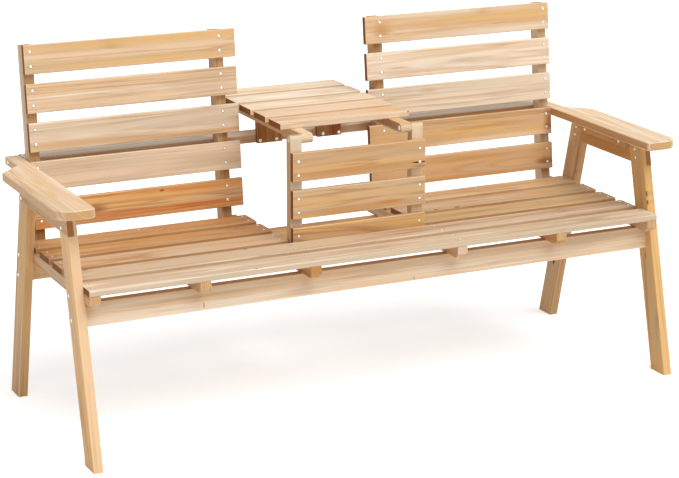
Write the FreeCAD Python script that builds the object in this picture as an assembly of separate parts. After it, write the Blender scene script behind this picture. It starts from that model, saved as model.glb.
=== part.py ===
import FreeCAD
import Part
import math
import os

# Companion seat bench in softwood. Two seats share one frame, and a small table
# with an upright centre panel stands between them. The panel folds back and
# down to fill the gap in the seat, and the table swings up to fill the gap in
# the back, which makes one long bench.
#
# Lengths are in millimetres and angles in degrees. X runs along the bench, the
# front faces -Y and Z is up. Left and right are as seen from the front.

Vector = FreeCAD.Vector

# Overall sizes
overall_length = 1700.0
front_foot_y = -385.0
arm_height = 618.0
seat_height = 425.0
table_rise = 91.0
table_rear_y = 385.0

# Side frames: splayed legs, an arm rail lapped into them and the armrest
arm_overhang = 43.5
leg_thickness = 24.0
leg_width = 61.0
leg_splay = 13.9
rear_foot_set_back = 577.5
arm_rail_height = 54.5
lap_depth = 15.0
cleat_thickness = 12.0
cleat_height = 20.0
cleat_front_set_back = 207.0
cleat_length = 233.0
armrest_thickness = 23.0
armrest_width = 95.0
armrest_front_set_back = 74.0
armrest_cut_set_back = 495.0
armrest_outer_radius = 40.0
armrest_inner_radius = 15.0
armrest_edge_easing = 2.5
tail_width = 38.0
tail_end_set_back = 656.0
rail_overhang = 9.0

# Seat: aprons between the legs, bearers across them and slats on top
apron_thickness = 24.0
apron_depth = 53.0
apron_inset = 6.0
bearer_height = 31.0
bearer_thickness = 28.0
bearer_nose_face = 19.0
bearer_nose_slope = 14.0
bearer_length = 530.0
middle_bearer_length = 466.0
middle_bearer_x = 492.0
opening_half_width = 188.5
slat_thickness = 15.0
slat_width = 73.0
seat_front_set_back = 64.0
seat_pitch = 98.5
full_rows = 2
short_rows = 3

# Backs: posts that stand beside the bearers, with slats on their front
back_recline = 6.3
back_set_back = 539.0
back_first_gap = 23.5
back_pitch = 97.5
back_rows = 5
post_width = 28.0
post_depth = 36.0
post_top_margin = 5.0

# Centre panel, its two uprights turn on bolts through the bearers
panel_end_gap = 3.0
pivot_set_back = 263.5
upright_width = 31.0
upright_depth = 24.0
panel_rows = 3
panel_pitch = 96.0
panel_slat_drop = 11.5

# Table, its two battens turn on bolts through the tops of the uprights
table_end_set_back = 4.5
batten_width = 31.0
batten_rear_margin = 5.0
table_rows = 5
table_pitch = 94.0
support_thickness = 12.0
support_width = 70.5

# Fits
side_play = 0.5
rest_gap = 0.3
running_clearance = 0.06
snug_clearance = 0.03
edge_easing = 1.5

# Screws, drawn with six flats, and round pivot bolts with their nuts
screw_sides = 6
screw_radius = 2.2
screw_head_radius = 4.0
screw_head_depth = 2.2
short_screw = 20.0
medium_screw = 34.0
long_screw = 45.0
end_grain_screw = 60.0
rail_screw = 50.0
bearer_screw_offset = 16.0
apron_screw_offset = 13.5
outer_arm_screw_offset = 17.0
outer_arm_screw_drop = 45.5
inner_arm_screw_offset = 4.5
inner_arm_screw_drops = (18.0, 40.0)
apron_screw_drop = 40.0
cleat_screw_margin = 33.5
cleat_screw_stagger = 30.0
support_inner_screw = 16.0
support_outer_screw = 7.5
support_screw_rise = 6.0
post_screw_spacing = 16.0
bolt_radius = 4.0
bolt_head_radius = 8.0
bolt_head_height = 2.6
nut_radius = 6.5
nut_height = 4.0
upright_counterbore = 3.0
batten_counterbore = 5.0
counterbore_play = 0.8

# Places worked out from the sizes
leg_outer_x = overall_length / 2 - arm_overhang
leg_inner_x = leg_outer_x - leg_thickness
leg_slope = math.tan(math.radians(leg_splay))
leg_run = leg_width / math.cos(math.radians(leg_splay))
rear_foot_y = front_foot_y + rear_foot_set_back
arm_underside = arm_height - armrest_thickness
armrest_inner_x = overall_length / 2 - armrest_width
tail_end_y = front_foot_y + tail_end_set_back
rail_rear_y = tail_end_y + rail_overhang
bearer_top = seat_height - slat_thickness
bearer_bottom = bearer_top - bearer_height
bearer_middle = bearer_top - bearer_height / 2
seat_front_y = front_foot_y + seat_front_set_back
back_y = front_foot_y + back_set_back
back_sine = math.sin(math.radians(back_recline))
back_cosine = math.cos(math.radians(back_recline))
post_rear = slat_thickness + post_depth
back_top = back_first_gap + (back_rows - 1) * back_pitch + slat_width
pivot_y = front_foot_y + pivot_set_back
lower_pivot_z = seat_height - slat_thickness - upright_depth / 2
table_height = arm_height + table_rise
table_underside = table_height - slat_thickness
upper_pivot_z = table_underside - upright_depth / 2
panel_half_width = opening_half_width - panel_end_gap
upright_inner_x = panel_half_width - upright_width
batten_outer_x = upright_inner_x - side_play
batten_inner_x = batten_outer_x - batten_width
table_half_length = panel_half_width - table_end_set_back
support_inner_x = batten_inner_x - side_play - support_width
end_bearer_x = leg_inner_x - bearer_thickness

pieces = {}
frame_screws = []


def box(x0, x1, y0, y1, z0, z1):
    """A straight board between two corners."""
    return Part.makeBox(x1 - x0, y1 - y0, z1 - z0, Vector(x0, y0, z0))


def side_profile(x0, x1, points):
    """A board whose outline is given as corners (y, z), from x0 to x1."""
    corners = [Vector(x0, y, z) for y, z in points]
    face = Part.Face(Part.makePolygon(corners + corners[:1]))
    return face.extrude(Vector(x1 - x0, 0, 0))


def cylinder(x0, x1, y, z, radius):
    """A round bar along X."""
    return Part.makeCylinder(radius, x1 - x0, Vector(x0, y, z), Vector(1, 0, 0))


def runs_along(edge, direction):
    """Whether a straight edge is parallel to a direction."""
    if not isinstance(edge.Curve, (Part.Line, Part.LineSegment)):
        return False
    return edge.tangentAt(edge.FirstParameter).cross(direction).Length < 1e-6


def eased(board, direction):
    """Take the sharpness off the long edges of a board."""
    edges = [edge for edge in board.Edges if runs_along(edge, direction)]
    return board.makeChamfer(edge_easing, edges)


def mirrored(shape):
    """The same piece on the other side of the bench's middle."""
    return shape.mirror(Vector(0, 0, 0), Vector(1, 0, 0))


def add_pair(name, right_piece):
    """Keep a piece of the right side and its mirror image on the left."""
    pieces[name + "_r"] = right_piece
    pieces[name + "_l"] = mirrored(right_piece)


def back_point(up, behind):
    """The (y, z) of a point on the reclined back.

    up is measured along the slats' front face from the seat's height, and
    behind is measured square to that face, towards the rear.
    """
    y = back_y + up * back_sine + behind * back_cosine
    z = seat_height + up * back_cosine - behind * back_sine
    return y, z


def back_height(z, behind):
    """How far up the back, at one depth behind its face, a level z is met."""
    return (z - seat_height + behind * back_sine) / back_cosine


def leaning_board(x0, x1, near, far, z0, z1):
    """A board parallel to the back, with its two ends cut level."""
    corners = []
    for behind, z in ((near, z0), (far, z0), (far, z1), (near, z1)):
        corners.append(back_point(back_height(z, behind), behind))
    return side_profile(x0, x1, corners)


def front_leg_edge(z):
    """The y of the front edge of a front leg at a height."""
    return front_foot_y + leg_slope * z


def rear_leg_edge(z):
    """The y of the front edge of a rear leg at a height."""
    return rear_foot_y - leg_slope * z


def polygon(radius, z):
    """A six-sided outline around the Z axis."""
    turns = [2 * math.pi * i / screw_sides for i in range(screw_sides)]
    corners = [Vector(radius * math.cos(a), radius * math.sin(a), z) for a in turns]
    return Part.makePolygon(corners + corners[:1])


def screw(length):
    """A countersunk wood screw that points down from a head flush with z = 0."""
    head = Part.makeLoft(
        [polygon(screw_head_radius, 0), polygon(screw_radius, -screw_head_depth)],
        True,
        True,
    )
    shank_face = Part.Face(polygon(screw_radius, -screw_head_depth))
    shank = shank_face.extrude(Vector(0, 0, screw_head_depth - length))
    return head.fuse(shank).removeSplitter()


def drive_screw(names, head, direction, length):
    """Set one screw through the named pieces and cut its hole in each."""
    driven = screw(length)
    turn = FreeCAD.Rotation(Vector(0, 0, -1), Vector(*direction))
    driven.Placement = FreeCAD.Placement(Vector(*head), turn)
    for name in names:
        pieces[name] = pieces[name].cut(driven)
    frame_screws.append(driven)


def drive_both_sides(names, head, direction, length):
    """The same screw on the right and on the left of the bench.

    A name that holds {side} stands for the pair of pieces, right and left.
    """
    x, y, z = head
    dx, dy, dz = direction
    drive_screw([name.format(side="r") for name in names], head, direction, length)
    left = [name.format(side="l") for name in names]
    drive_screw(left, (-x, y, z), (-dx, dy, dz), length)


def make_legs():
    """Two splayed legs a side, halved outside at the top for the arm rail."""
    lap = box(
        leg_outer_x - lap_depth,
        leg_outer_x,
        front_foot_y,
        rear_foot_y + leg_run,
        arm_underside - arm_rail_height,
        arm_underside,
    )
    for name, edge, lean in (
        ("front_leg", front_leg_edge, leg_slope),
        ("rear_leg", rear_leg_edge, -leg_slope),
    ):
        outline = [
            (edge(0), 0),
            (edge(0) + leg_run, 0),
            (edge(arm_underside) + leg_run, arm_underside),
            (edge(arm_underside), arm_underside),
        ]
        leg = side_profile(leg_inner_x, leg_outer_x, outline)
        leg = eased(leg, Vector(0, lean, 1).normalize())
        add_pair(name, leg.cut(lap))


def make_arm_rails():
    """A rail under each armrest, halved over both legs and cut flush with them."""
    rail_underside = arm_underside - arm_rail_height
    outline = [
        (front_leg_edge(rail_underside), rail_underside),
        (rear_leg_edge(rail_underside) + leg_run, rail_underside),
        (rear_leg_edge(arm_underside) + leg_run, arm_underside),
        (front_leg_edge(arm_underside), arm_underside),
    ]
    rail = side_profile(leg_inner_x, leg_outer_x, outline)
    rail = rail.cut(pieces["front_leg_r"]).cut(pieces["rear_leg_r"])
    solids = sorted(rail.Solids, key=lambda solid: solid.Volume)
    add_pair("arm_rail", solids[-1])
    cleat_y = front_foot_y + cleat_front_set_back
    cleat = box(
        leg_inner_x - cleat_thickness,
        leg_inner_x,
        cleat_y,
        cleat_y + cleat_length,
        arm_underside - cleat_height,
        arm_underside,
    )
    add_pair("arm_cleat", eased(cleat, Vector(0, 1, 0)))


def make_armrests():
    """Broad armrests that narrow to a tail at the rear with a slanted cut."""
    outer_x = overall_length / 2
    tail_outer_x = armrest_inner_x + tail_width
    front_y = front_foot_y + armrest_front_set_back
    cut_y = front_foot_y + armrest_cut_set_back
    corners = [
        (armrest_inner_x, front_y),
        (outer_x, front_y),
        (outer_x, cut_y),
        (tail_outer_x, cut_y + outer_x - tail_outer_x),
        (tail_outer_x, tail_end_y),
        (armrest_inner_x, tail_end_y),
    ]
    points = [Vector(x, y, arm_underside) for x, y in corners]
    face = Part.Face(Part.makePolygon(points + points[:1]))
    armrest = face.extrude(Vector(0, 0, armrest_thickness))
    for corner, radius in ((0, armrest_inner_radius), (1, armrest_outer_radius)):
        upright = [
            edge
            for edge in armrest.Edges
            if runs_along(edge, Vector(0, 0, 1))
            and edge.distToShape(Part.Vertex(points[corner]))[0] < 1e-6
        ]
        armrest = armrest.makeFillet(radius, upright)
    rims = [edge for edge in armrest.Edges if not runs_along(edge, Vector(0, 0, 1))]
    add_pair("armrest", armrest.makeChamfer(armrest_edge_easing, rims))


def make_aprons():
    """Front and rear aprons between the legs, leaning as the legs do."""
    half_run = apron_thickness / math.cos(math.radians(leg_splay)) / 2
    for name, edge in (("front_apron", front_leg_edge), ("rear_apron", rear_leg_edge)):
        outline = []
        for z, side in (
            (bearer_bottom - apron_depth, -1),
            (bearer_bottom - apron_depth, 1),
            (bearer_bottom, 1),
            (bearer_bottom, -1),
        ):
            outline.append((edge(z) + leg_run / 2 + apron_inset + side * half_run, z))
        pieces[name] = side_profile(-leg_inner_x, leg_inner_x, outline)


def bearer_places():
    """The low X of each bearer, from left to right."""
    half = bearer_thickness / 2
    right = [opening_half_width, middle_bearer_x - half, end_bearer_x]
    left = [-x - bearer_thickness for x in reversed(right)]
    return left + right


def make_bearers():
    """Six bearers with a sloped nose. The two without posts end under the last slat."""
    for number, x in enumerate(bearer_places(), start=1):
        length = middle_bearer_length if number in (2, 5) else bearer_length
        outline = [
            (seat_front_y, bearer_top),
            (seat_front_y, bearer_top - bearer_nose_face),
            (seat_front_y + bearer_nose_slope, bearer_bottom),
            (seat_front_y + length, bearer_bottom),
            (seat_front_y + length, bearer_top),
        ]
        bearer = side_profile(x, x + bearer_thickness, outline)
        pieces[f"bearer_{number}"] = eased(bearer, Vector(0, 1, 0))


def make_seat():
    """Full-length slats in front, and short ones on both sides of the gap."""
    for row in range(full_rows + short_rows):
        y = seat_front_y + row * seat_pitch
        inner_x = -leg_inner_x if row < full_rows else opening_half_width
        slat = box(inner_x, leg_inner_x, y, y + slat_width, bearer_top, seat_height)
        slat = eased(slat, Vector(1, 0, 0))
        if row < full_rows:
            pieces[f"seat_slat_front_{row + 1}"] = slat
        else:
            number = full_rows + short_rows - row
            pieces[f"seat_slat_right_{number}"] = slat
            pieces[f"seat_slat_left_{number}"] = mirrored(slat)


def make_backs():
    """Two slatted backs, each on a pair of posts beside the bearers."""
    back_outer_x = end_bearer_x
    inner_post_x = opening_half_width + bearer_thickness
    outer_post_x = back_outer_x - post_width
    post_top = back_top + post_top_margin
    for name, x in (("back_post_inner", inner_post_x), ("back_post_outer", outer_post_x)):
        outline = [
            back_point(back_height(bearer_bottom, slat_thickness), slat_thickness),
            back_point(back_height(bearer_bottom, post_rear), post_rear),
            back_point(post_top, post_rear),
            back_point(post_top, slat_thickness),
        ]
        post = side_profile(x, x + post_width, outline)
        add_pair(name, eased(post, Vector(0, back_sine, back_cosine)))
    for row in range(back_rows):
        low = back_first_gap + row * back_pitch
        outline = [
            back_point(low, 0),
            back_point(low, slat_thickness),
            back_point(low + slat_width, slat_thickness),
            back_point(low + slat_width, 0),
        ]
        slat = side_profile(opening_half_width, back_outer_x, outline)
        slat = eased(slat, Vector(1, 0, 0))
        number = back_rows - row
        pieces[f"back_slat_right_{number}"] = slat
        pieces[f"back_slat_left_{number}"] = mirrored(slat)


def make_rear_rail():
    """A flat rail level with the armrests, bevelled to the posts' rear face."""
    low_front = back_point(back_height(arm_underside, post_rear), post_rear)
    high_front = back_point(back_height(arm_height, post_rear), post_rear)
    outline = [low_front, (rail_rear_y, arm_underside), (rail_rear_y, arm_height), high_front]
    rail = side_profile(-armrest_inner_x, armrest_inner_x, outline)
    pieces["rear_rail"] = eased(rail, Vector(1, 0, 0))


def make_table_supports():
    """Two short boards on the rail's front edge that the table rests on."""
    support = leaning_board(
        support_inner_x,
        support_inner_x + support_width,
        post_rear - support_thickness,
        post_rear,
        arm_underside,
        table_underside - rest_gap,
    )
    add_pair("table_support", support)


def round_ended_bar(x0, x1, start, end, width, round_end):
    """A bar in the plane of a side view, with one or both ends half round."""
    (y0, z0), (y1, z1) = start, end
    along = Vector(0, y1 - y0, z1 - z0)
    across = Vector(1, 0, 0).cross(along).normalize() * (width / 2)
    corners = []
    for point, side in ((start, -1), (end, -1), (end, 1), (start, 1)):
        corners.append((point[0] + side * across.y, point[1] + side * across.z))
    bar = side_profile(x0, x1, corners).fuse(cylinder(x0, x1, y0, z0, width / 2))
    if round_end:
        bar = bar.fuse(cylinder(x0, x1, y1, z1, width / 2))
    return bar.removeSplitter()


def make_panel():
    """The centre panel, three slats on two round-ended uprights."""
    upright = round_ended_bar(
        upright_inner_x,
        panel_half_width,
        (pivot_y, lower_pivot_z),
        (pivot_y, upper_pivot_z),
        upright_depth,
        True,
    )
    pin_hole = bolt_radius + running_clearance
    upright = upright.cut(
        cylinder(upright_inner_x, panel_half_width, pivot_y, lower_pivot_z, pin_hole)
    )
    bolt_hole = bolt_radius + snug_clearance
    upright = upright.cut(
        cylinder(upright_inner_x, panel_half_width, pivot_y, upper_pivot_z, bolt_hole)
    )
    head_recess = cylinder(
        panel_half_width - upright_counterbore,
        panel_half_width,
        pivot_y,
        upper_pivot_z,
        bolt_head_radius + counterbore_play,
    )
    add_pair("panel_upright", upright.cut(head_recess))
    front_y = pivot_y - upright_depth / 2 - slat_thickness
    for row in range(panel_rows):
        low = lower_pivot_z - panel_slat_drop + row * panel_pitch
        slat = box(
            -panel_half_width,
            panel_half_width,
            front_y,
            front_y + slat_thickness,
            low,
            low + slat_width,
        )
        pieces[f"panel_slat_{panel_rows - row}"] = eased(slat, Vector(1, 0, 0))


def make_table():
    """The table, five slats on two battens that end in a round knuckle."""
    batten = round_ended_bar(
        batten_inner_x,
        batten_outer_x,
        (pivot_y, upper_pivot_z),
        (table_rear_y - batten_rear_margin, upper_pivot_z),
        upright_depth,
        False,
    )
    hole = bolt_radius + running_clearance
    batten = batten.cut(
        cylinder(batten_inner_x, batten_outer_x, pivot_y, upper_pivot_z, hole)
    )
    nut_recess = cylinder(
        batten_inner_x,
        batten_inner_x + batten_counterbore,
        pivot_y,
        upper_pivot_z,
        nut_radius + counterbore_play,
    )
    add_pair("table_batten", batten.cut(nut_recess))
    for row in range(table_rows):
        rear = table_rear_y - row * table_pitch
        slat = box(
            -table_half_length,
            table_half_length,
            rear - slat_width,
            rear,
            table_underside,
            table_height,
        )
        pieces[f"table_slat_{row + 1}"] = eased(slat, Vector(1, 0, 0))


def make_pivots():
    """Bolts and nuts at the panel's foot and at the table's knuckles."""
    bearer_outer_x = opening_half_width + bearer_thickness
    bearer_hole = cylinder(
        opening_half_width,
        bearer_outer_x,
        pivot_y,
        lower_pivot_z,
        bolt_radius + snug_clearance,
    )
    first_inner, last_inner = bearers_beside_gap()
    pieces[last_inner] = pieces[last_inner].cut(bearer_hole)
    pieces[first_inner] = pieces[first_inner].cut(mirrored(bearer_hole))
    lower_end_x = upright_inner_x - rest_gap - nut_height
    add_bolt_pair(
        "lower",
        lower_pivot_z,
        (lower_end_x, bearer_outer_x),
        (bearer_outer_x, bearer_outer_x + bolt_head_height),
    )
    upper_end_x = batten_inner_x + batten_counterbore - rest_gap - nut_height
    recess_floor_x = panel_half_width - upright_counterbore
    add_bolt_pair(
        "upper",
        upper_pivot_z,
        (upper_end_x, recess_floor_x),
        (recess_floor_x, recess_floor_x + bolt_head_height),
    )


def bearers_beside_gap():
    """The names of the two bearers that carry the panel."""
    places = bearer_places()
    left = places.index(-opening_half_width - bearer_thickness) + 1
    right = places.index(opening_half_width) + 1
    return f"bearer_{left}", f"bearer_{right}"


def add_bolt_pair(level, z, shank, head):
    """A bolt and a round nut on both sides, the nut at the shank's end."""
    bolt = cylinder(shank[0], shank[1], pivot_y, z, bolt_radius)
    bolt = bolt.fuse(cylinder(head[0], head[1], pivot_y, z, bolt_head_radius))
    nut = cylinder(shank[0], shank[0] + nut_height, pivot_y, z, nut_radius)
    thread = cylinder(
        shank[0], shank[0] + nut_height, pivot_y, z, bolt_radius + snug_clearance
    )
    nut = nut.cut(thread)
    bolt = bolt.removeSplitter()
    pieces[f"pivot_bolts_{level}"] = Part.makeCompound([bolt, mirrored(bolt)])
    pieces[f"pivot_nuts_{level}"] = Part.makeCompound([nut, mirrored(nut)])


def screw_legs():
    """Screws of the side frames: legs, arm rails, cleats and armrest tails."""
    for leg, edge, apron in (
        ("front_leg", front_leg_edge, "front_apron"),
        ("rear_leg", rear_leg_edge, "rear_apron"),
    ):
        name = leg + "_{side}"
        middle = leg_run / 2
        outer_z = arm_underside - outer_arm_screw_drop
        head = (leg_outer_x, edge(outer_z) + middle + outer_arm_screw_offset, outer_z)
        drive_both_sides([name, "arm_rail_{side}"], head, (-1, 0, 0), short_screw)
        for drop in inner_arm_screw_drops:
            z = arm_underside - drop
            head = (leg_inner_x, edge(z) + middle + inner_arm_screw_offset, z)
            drive_both_sides([name, "arm_rail_{side}"], head, (1, 0, 0), short_screw)
        y = edge(bearer_middle) + middle + bearer_screw_offset
        for side, sign, bearer in (("r", 1, "bearer_6"), ("l", -1, "bearer_1")):
            head = (sign * leg_outer_x, y, bearer_middle)
            names = [name.format(side=side), bearer]
            drive_screw(names, head, (-sign, 0, 0), long_screw)
        z = bearer_bottom - apron_screw_drop
        head = (leg_outer_x, edge(z) + middle + apron_screw_offset, z)
        drive_both_sides([name, apron], head, (-1, 0, 0), end_grain_screw)


def screw_arms():
    """Screws of the cleats, and of the rear rail's ends."""
    cleat_y = front_foot_y + cleat_front_set_back
    ends = (cleat_y + cleat_screw_margin, cleat_y + cleat_length - cleat_screw_margin)
    cleat_names = ["arm_cleat_{side}", "arm_rail_{side}"]
    rest_names = ["arm_cleat_{side}", "armrest_{side}"]
    cleat_inner_x = leg_inner_x - cleat_thickness
    cleat_bottom = arm_underside - cleat_height
    for y, inward in ((ends[0], 1), (ends[1], -1)):
        head = (cleat_inner_x, y, arm_underside - cleat_height / 2)
        drive_both_sides(cleat_names, head, (1, 0, 0), medium_screw)
        beside = y + inward * cleat_screw_stagger
        head = (leg_inner_x - cleat_thickness / 2, beside, cleat_bottom)
        drive_both_sides(rest_names, head, (0, 0, 1), medium_screw)
    head = (armrest_inner_x + tail_width, 0, arm_height - armrest_thickness / 2)
    rail_front_y, _ = back_point(back_height(head[2], post_rear), post_rear)
    head = (head[0], (rail_front_y + tail_end_y) / 2, head[2])
    drive_both_sides(["armrest_{side}", "rear_rail"], head, (-1, 0, 0), end_grain_screw)


def screw_bearers():
    """Screws down through the inner bearers into both aprons."""
    places = bearer_places()
    for apron, edge in (("front_apron", front_leg_edge), ("rear_apron", rear_leg_edge)):
        for number in range(2, len(places)):
            x = places[number - 1] + bearer_thickness / 2
            y = edge(bearer_bottom) + leg_run / 2 + apron_inset
            drive_screw(
                [f"bearer_{number}", apron], (x, y, bearer_top), (0, 0, -1), long_screw
            )


def screw_backs():
    """Screws of the posts into the bearers and the rear rail."""
    inner_x = opening_half_width + bearer_thickness + post_width
    outer_x = end_bearer_x - post_width
    depth = slat_thickness + post_depth / 2
    middle_y, _ = back_point(back_height(bearer_middle, depth), depth)
    left_bearer, right_bearer = bearers_beside_gap()
    for offset in (-post_screw_spacing / 2, post_screw_spacing / 2):
        y = middle_y + offset
        for side, sign, inner, outer in (
            ("r", 1, right_bearer, "bearer_6"),
            ("l", -1, left_bearer, "bearer_1"),
        ):
            head = (sign * inner_x, y, bearer_middle)
            names = [f"back_post_inner_{side}", inner]
            drive_screw(names, head, (-sign, 0, 0), long_screw)
            head = (sign * outer_x, y, bearer_middle)
            names = [f"back_post_outer_{side}", outer]
            drive_screw(names, head, (sign, 0, 0), long_screw)
    rail_middle = arm_height - armrest_thickness / 2
    y, z = back_point(back_height(rail_middle, post_rear), slat_thickness)
    into_rail = (0, back_cosine, -back_sine)
    for name, x in (("back_post_inner", inner_x - post_width / 2),
                    ("back_post_outer", outer_x + post_width / 2)):
        names = [name + "_{side}", "rear_rail"]
        drive_both_sides(names, (x, y, z), into_rail, rail_screw)


def screw_supports():
    """Two screws through each table support into the rear rail."""
    front = post_rear - support_thickness
    screw_height = arm_underside + support_screw_rise
    y, z = back_point(back_height(screw_height, post_rear), front)
    into_rail = (0, back_cosine, -back_sine)
    for x in (
        support_inner_x + support_inner_screw,
        support_inner_x + support_width - support_outer_screw,
    ):
        names = ["table_support_{side}", "rear_rail"]
        drive_both_sides(names, (x, y, z), into_rail, medium_screw)


def main():
    """Make every piece and write each one to its own file."""
    make_legs()
    make_arm_rails()
    make_armrests()
    make_aprons()
    make_bearers()
    make_seat()
    make_backs()
    make_rear_rail()
    make_table_supports()
    make_panel()
    make_table()
    make_pivots()
    screw_legs()
    screw_arms()
    screw_bearers()
    screw_backs()
    screw_supports()
    pieces["frame_screws"] = Part.makeCompound(frame_screws)
    os.makedirs("parts", exist_ok=True)
    for name, shape in pieces.items():
        shape.exportStep(f"parts/{name}.step")


main()
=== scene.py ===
"""Looks of the companion seat bench: each board in its own softwood grain, the screw heads and the studio."""

import math

import bmesh
import bpy
import numpy as np
from mathutils import Euler, Matrix, Vector


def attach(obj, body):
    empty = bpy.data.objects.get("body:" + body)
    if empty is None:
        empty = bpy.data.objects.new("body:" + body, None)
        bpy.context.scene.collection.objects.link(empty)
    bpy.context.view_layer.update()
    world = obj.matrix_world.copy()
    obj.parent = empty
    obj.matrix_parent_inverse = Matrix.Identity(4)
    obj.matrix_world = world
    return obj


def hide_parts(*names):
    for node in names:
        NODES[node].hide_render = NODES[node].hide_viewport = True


bl_info = {
    "name": "Companion Seat Bench",
    "version": (1, 0, 0),
    "blender": (4, 5, 0),
    "location": "View3D > Sidebar > Bench",
    "description": "Dresses the bench frame with softwood grain, screw heads and a studio",
    "category": "Object",
}

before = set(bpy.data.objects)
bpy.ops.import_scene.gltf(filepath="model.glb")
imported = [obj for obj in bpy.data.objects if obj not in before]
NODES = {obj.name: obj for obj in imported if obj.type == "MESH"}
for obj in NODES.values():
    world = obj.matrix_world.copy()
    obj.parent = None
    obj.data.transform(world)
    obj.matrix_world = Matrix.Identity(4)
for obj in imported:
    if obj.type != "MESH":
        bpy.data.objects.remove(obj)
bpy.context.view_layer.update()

# Where boards meet, in metres, as the frame has them
RECLINE = math.radians(6.3)
LEG_LEAN = math.atan(0.2475)
BACK_FOOT = Vector((0.0, 0.154, 0.425))
BACK_FIRST = 0.0235
BACK_PITCH = 0.0975
SLAT_WIDTH = 0.073
SEAT_TOP = 0.425
SEAT_FRONT = -0.321
SEAT_PITCH = 0.0985
PANEL_FACE = -0.1485
PANEL_FIRST = 0.3865
PANEL_PITCH = 0.096
TABLE_UNDERSIDE = 0.670
TABLE_REAR = 0.385
TABLE_PITCH = 0.094
BEARER_CENTRES = (0.7685, 0.492, 0.2045)
POST_CENTRES = (0.2325, 0.7385)
UPRIGHT_CENTRE = 0.170
BATTEN_CENTRE = 0.1385

# How many slats lie in each back, seat, panel and table
BACK_SLATS = 5
SEAT_ROWS = 5
PANEL_SLATS = 3
TABLE_SLATS = 5

# Where a pair of screws stands across a slat, from the slat's middle
SEAT_SCREWS = (-0.0195, 0.0195)
BACK_SCREWS = (-0.017, 0.020)
PANEL_SCREWS = (-0.020, 0.0155)
TABLE_SCREWS = (-0.018, 0.018)

# A screw head: points round it, and the dark ring about it, a painted shade of the countersink, in head radii
# and in metres over the wood
HEAD_POINTS = 12
SINK_WIDTH = 1.2
SINK_HEIGHT = 0.0001
SINK_SHADE_COLOUR = (0.17, 0.1, 0.05, 1.0)

# Corners that each of the frame's screws has in its mesh
SCREW_CORNERS = 96

# The plating: how dark the bolts and the cloudy patches are, and waves per metre of patches and scuffs
BOLT_SHADE = 0.9
PLATE_DULL = 0.9
PLATE_CLOUD = 420.0
PLATE_SCUFF = 2100.0

# The part of a post's upper end that slides down when it is trimmed, and how near points are merged
POST_TIP = 0.004
MERGE_REACH = 1e-6

# The studio: floor, lamp and the camera's place, turn and film
FLOOR_REACH = 40.0
FLOOR_TONE = 0.86
FLOOR_GLOW = 0.52
LAMP_DIRECTION = (-0.15, 0.49, -0.86)
LAMP_SOFTNESS = 48.0
CAMERA_PLACE = (-2.3000, -4.7761, 1.8828)
CAMERA_YAW, CAMERA_PITCH, CAMERA_ROLL = 0.45007, 0.26717, 0.00113
CAMERA_SHIFT = (0.0035, -0.0323)
FILM_WIDTH = 36.0
FAR_LIMIT = 200.0

# The noises of the wood: waves per metre along the grain and across it, detail and roughness
WAVES = {
    "wander": (1.3, 6.0, 2.0, 0.5),
    "band": (0.7, 48.0, 2.0, 0.5),
    "tint": (0.9, 62.0, 2.0, 0.5),
    "veins": (1.4, 95.0, 2.0, 0.6),
    "streak": (2.6, 260.0, 3.0, 0.62),
    "cloud": (3.0, 30.0, 2.0, 0.5),
    "fibre": (9.0, 430.0, 2.0, 0.6),
    "dash": (12.0, 330.0, 1.0, 0.5),
}

# Where each soft step of the wood starts and ends
SPANS = {
    "latewood grows": (0.45, 0.9),
    "latewood stops": (0.93, 1.0),
    "band": (0.4, 0.6),
    "stain": (0.5, 0.62),
    "grey patch": (0.52, 0.66),
    "veined part": (0.35, 0.6),
    "dash": (0.68, 0.8),
    "knot": (0.7, 1.2),
    "mark": (0.1, 1.35),
    "knot swell": (1.0, 5.0),
    "end face": (0.75, 0.95),
    "narrow face": (0.8, 0.95),
}

# How thin the veins are, how far patterns are shifted, where the heart line runs and how much it tilts, and
# how near an edge its painted highlight and wear and a narrow face's painted light and shade begin
VEIN_SHARPNESS = 22.0
SHIFT_REACH = 40.0
HEART_DEPTHS = (0.02, 0.07)
HEART_TILT_ACROSS = 0.010
HEART_TILT_DEPTH = 0.015
EDGE_START = 0.0006
SIDE_SHADING_START = 0.0005

# How each kind of board lies: the way its grain runs, then the way across its face
LIES = {
    "flat": ((1, 0, 0), (0, 1, 0)),
    "standing": ((1, 0, 0), (0, 0, 1)),
    "reclined": ((1, 0, 0), (0, math.sin(RECLINE), math.cos(RECLINE))),
    "front_apron": ((1, 0, 0), (0, math.sin(LEG_LEAN), math.cos(LEG_LEAN))),
    "rear_apron": ((1, 0, 0), (0, -math.sin(LEG_LEAN), math.cos(LEG_LEAN))),
    "front_leg": ((0, math.sin(LEG_LEAN), math.cos(LEG_LEAN)), (0, math.cos(LEG_LEAN), -math.sin(LEG_LEAN))),
    "rear_leg": ((0, -math.sin(LEG_LEAN), math.cos(LEG_LEAN)), (0, math.cos(LEG_LEAN), math.sin(LEG_LEAN))),
    "deep": ((0, 1, 0), (1, 0, 0)),
    "edgewise": ((0, 1, 0), (0, 0, 1)),
    "post": ((0, math.sin(RECLINE), math.cos(RECLINE)), (1, 0, 0)),
    "stile": ((0, 0, 1), (1, 0, 0)),
}

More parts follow.
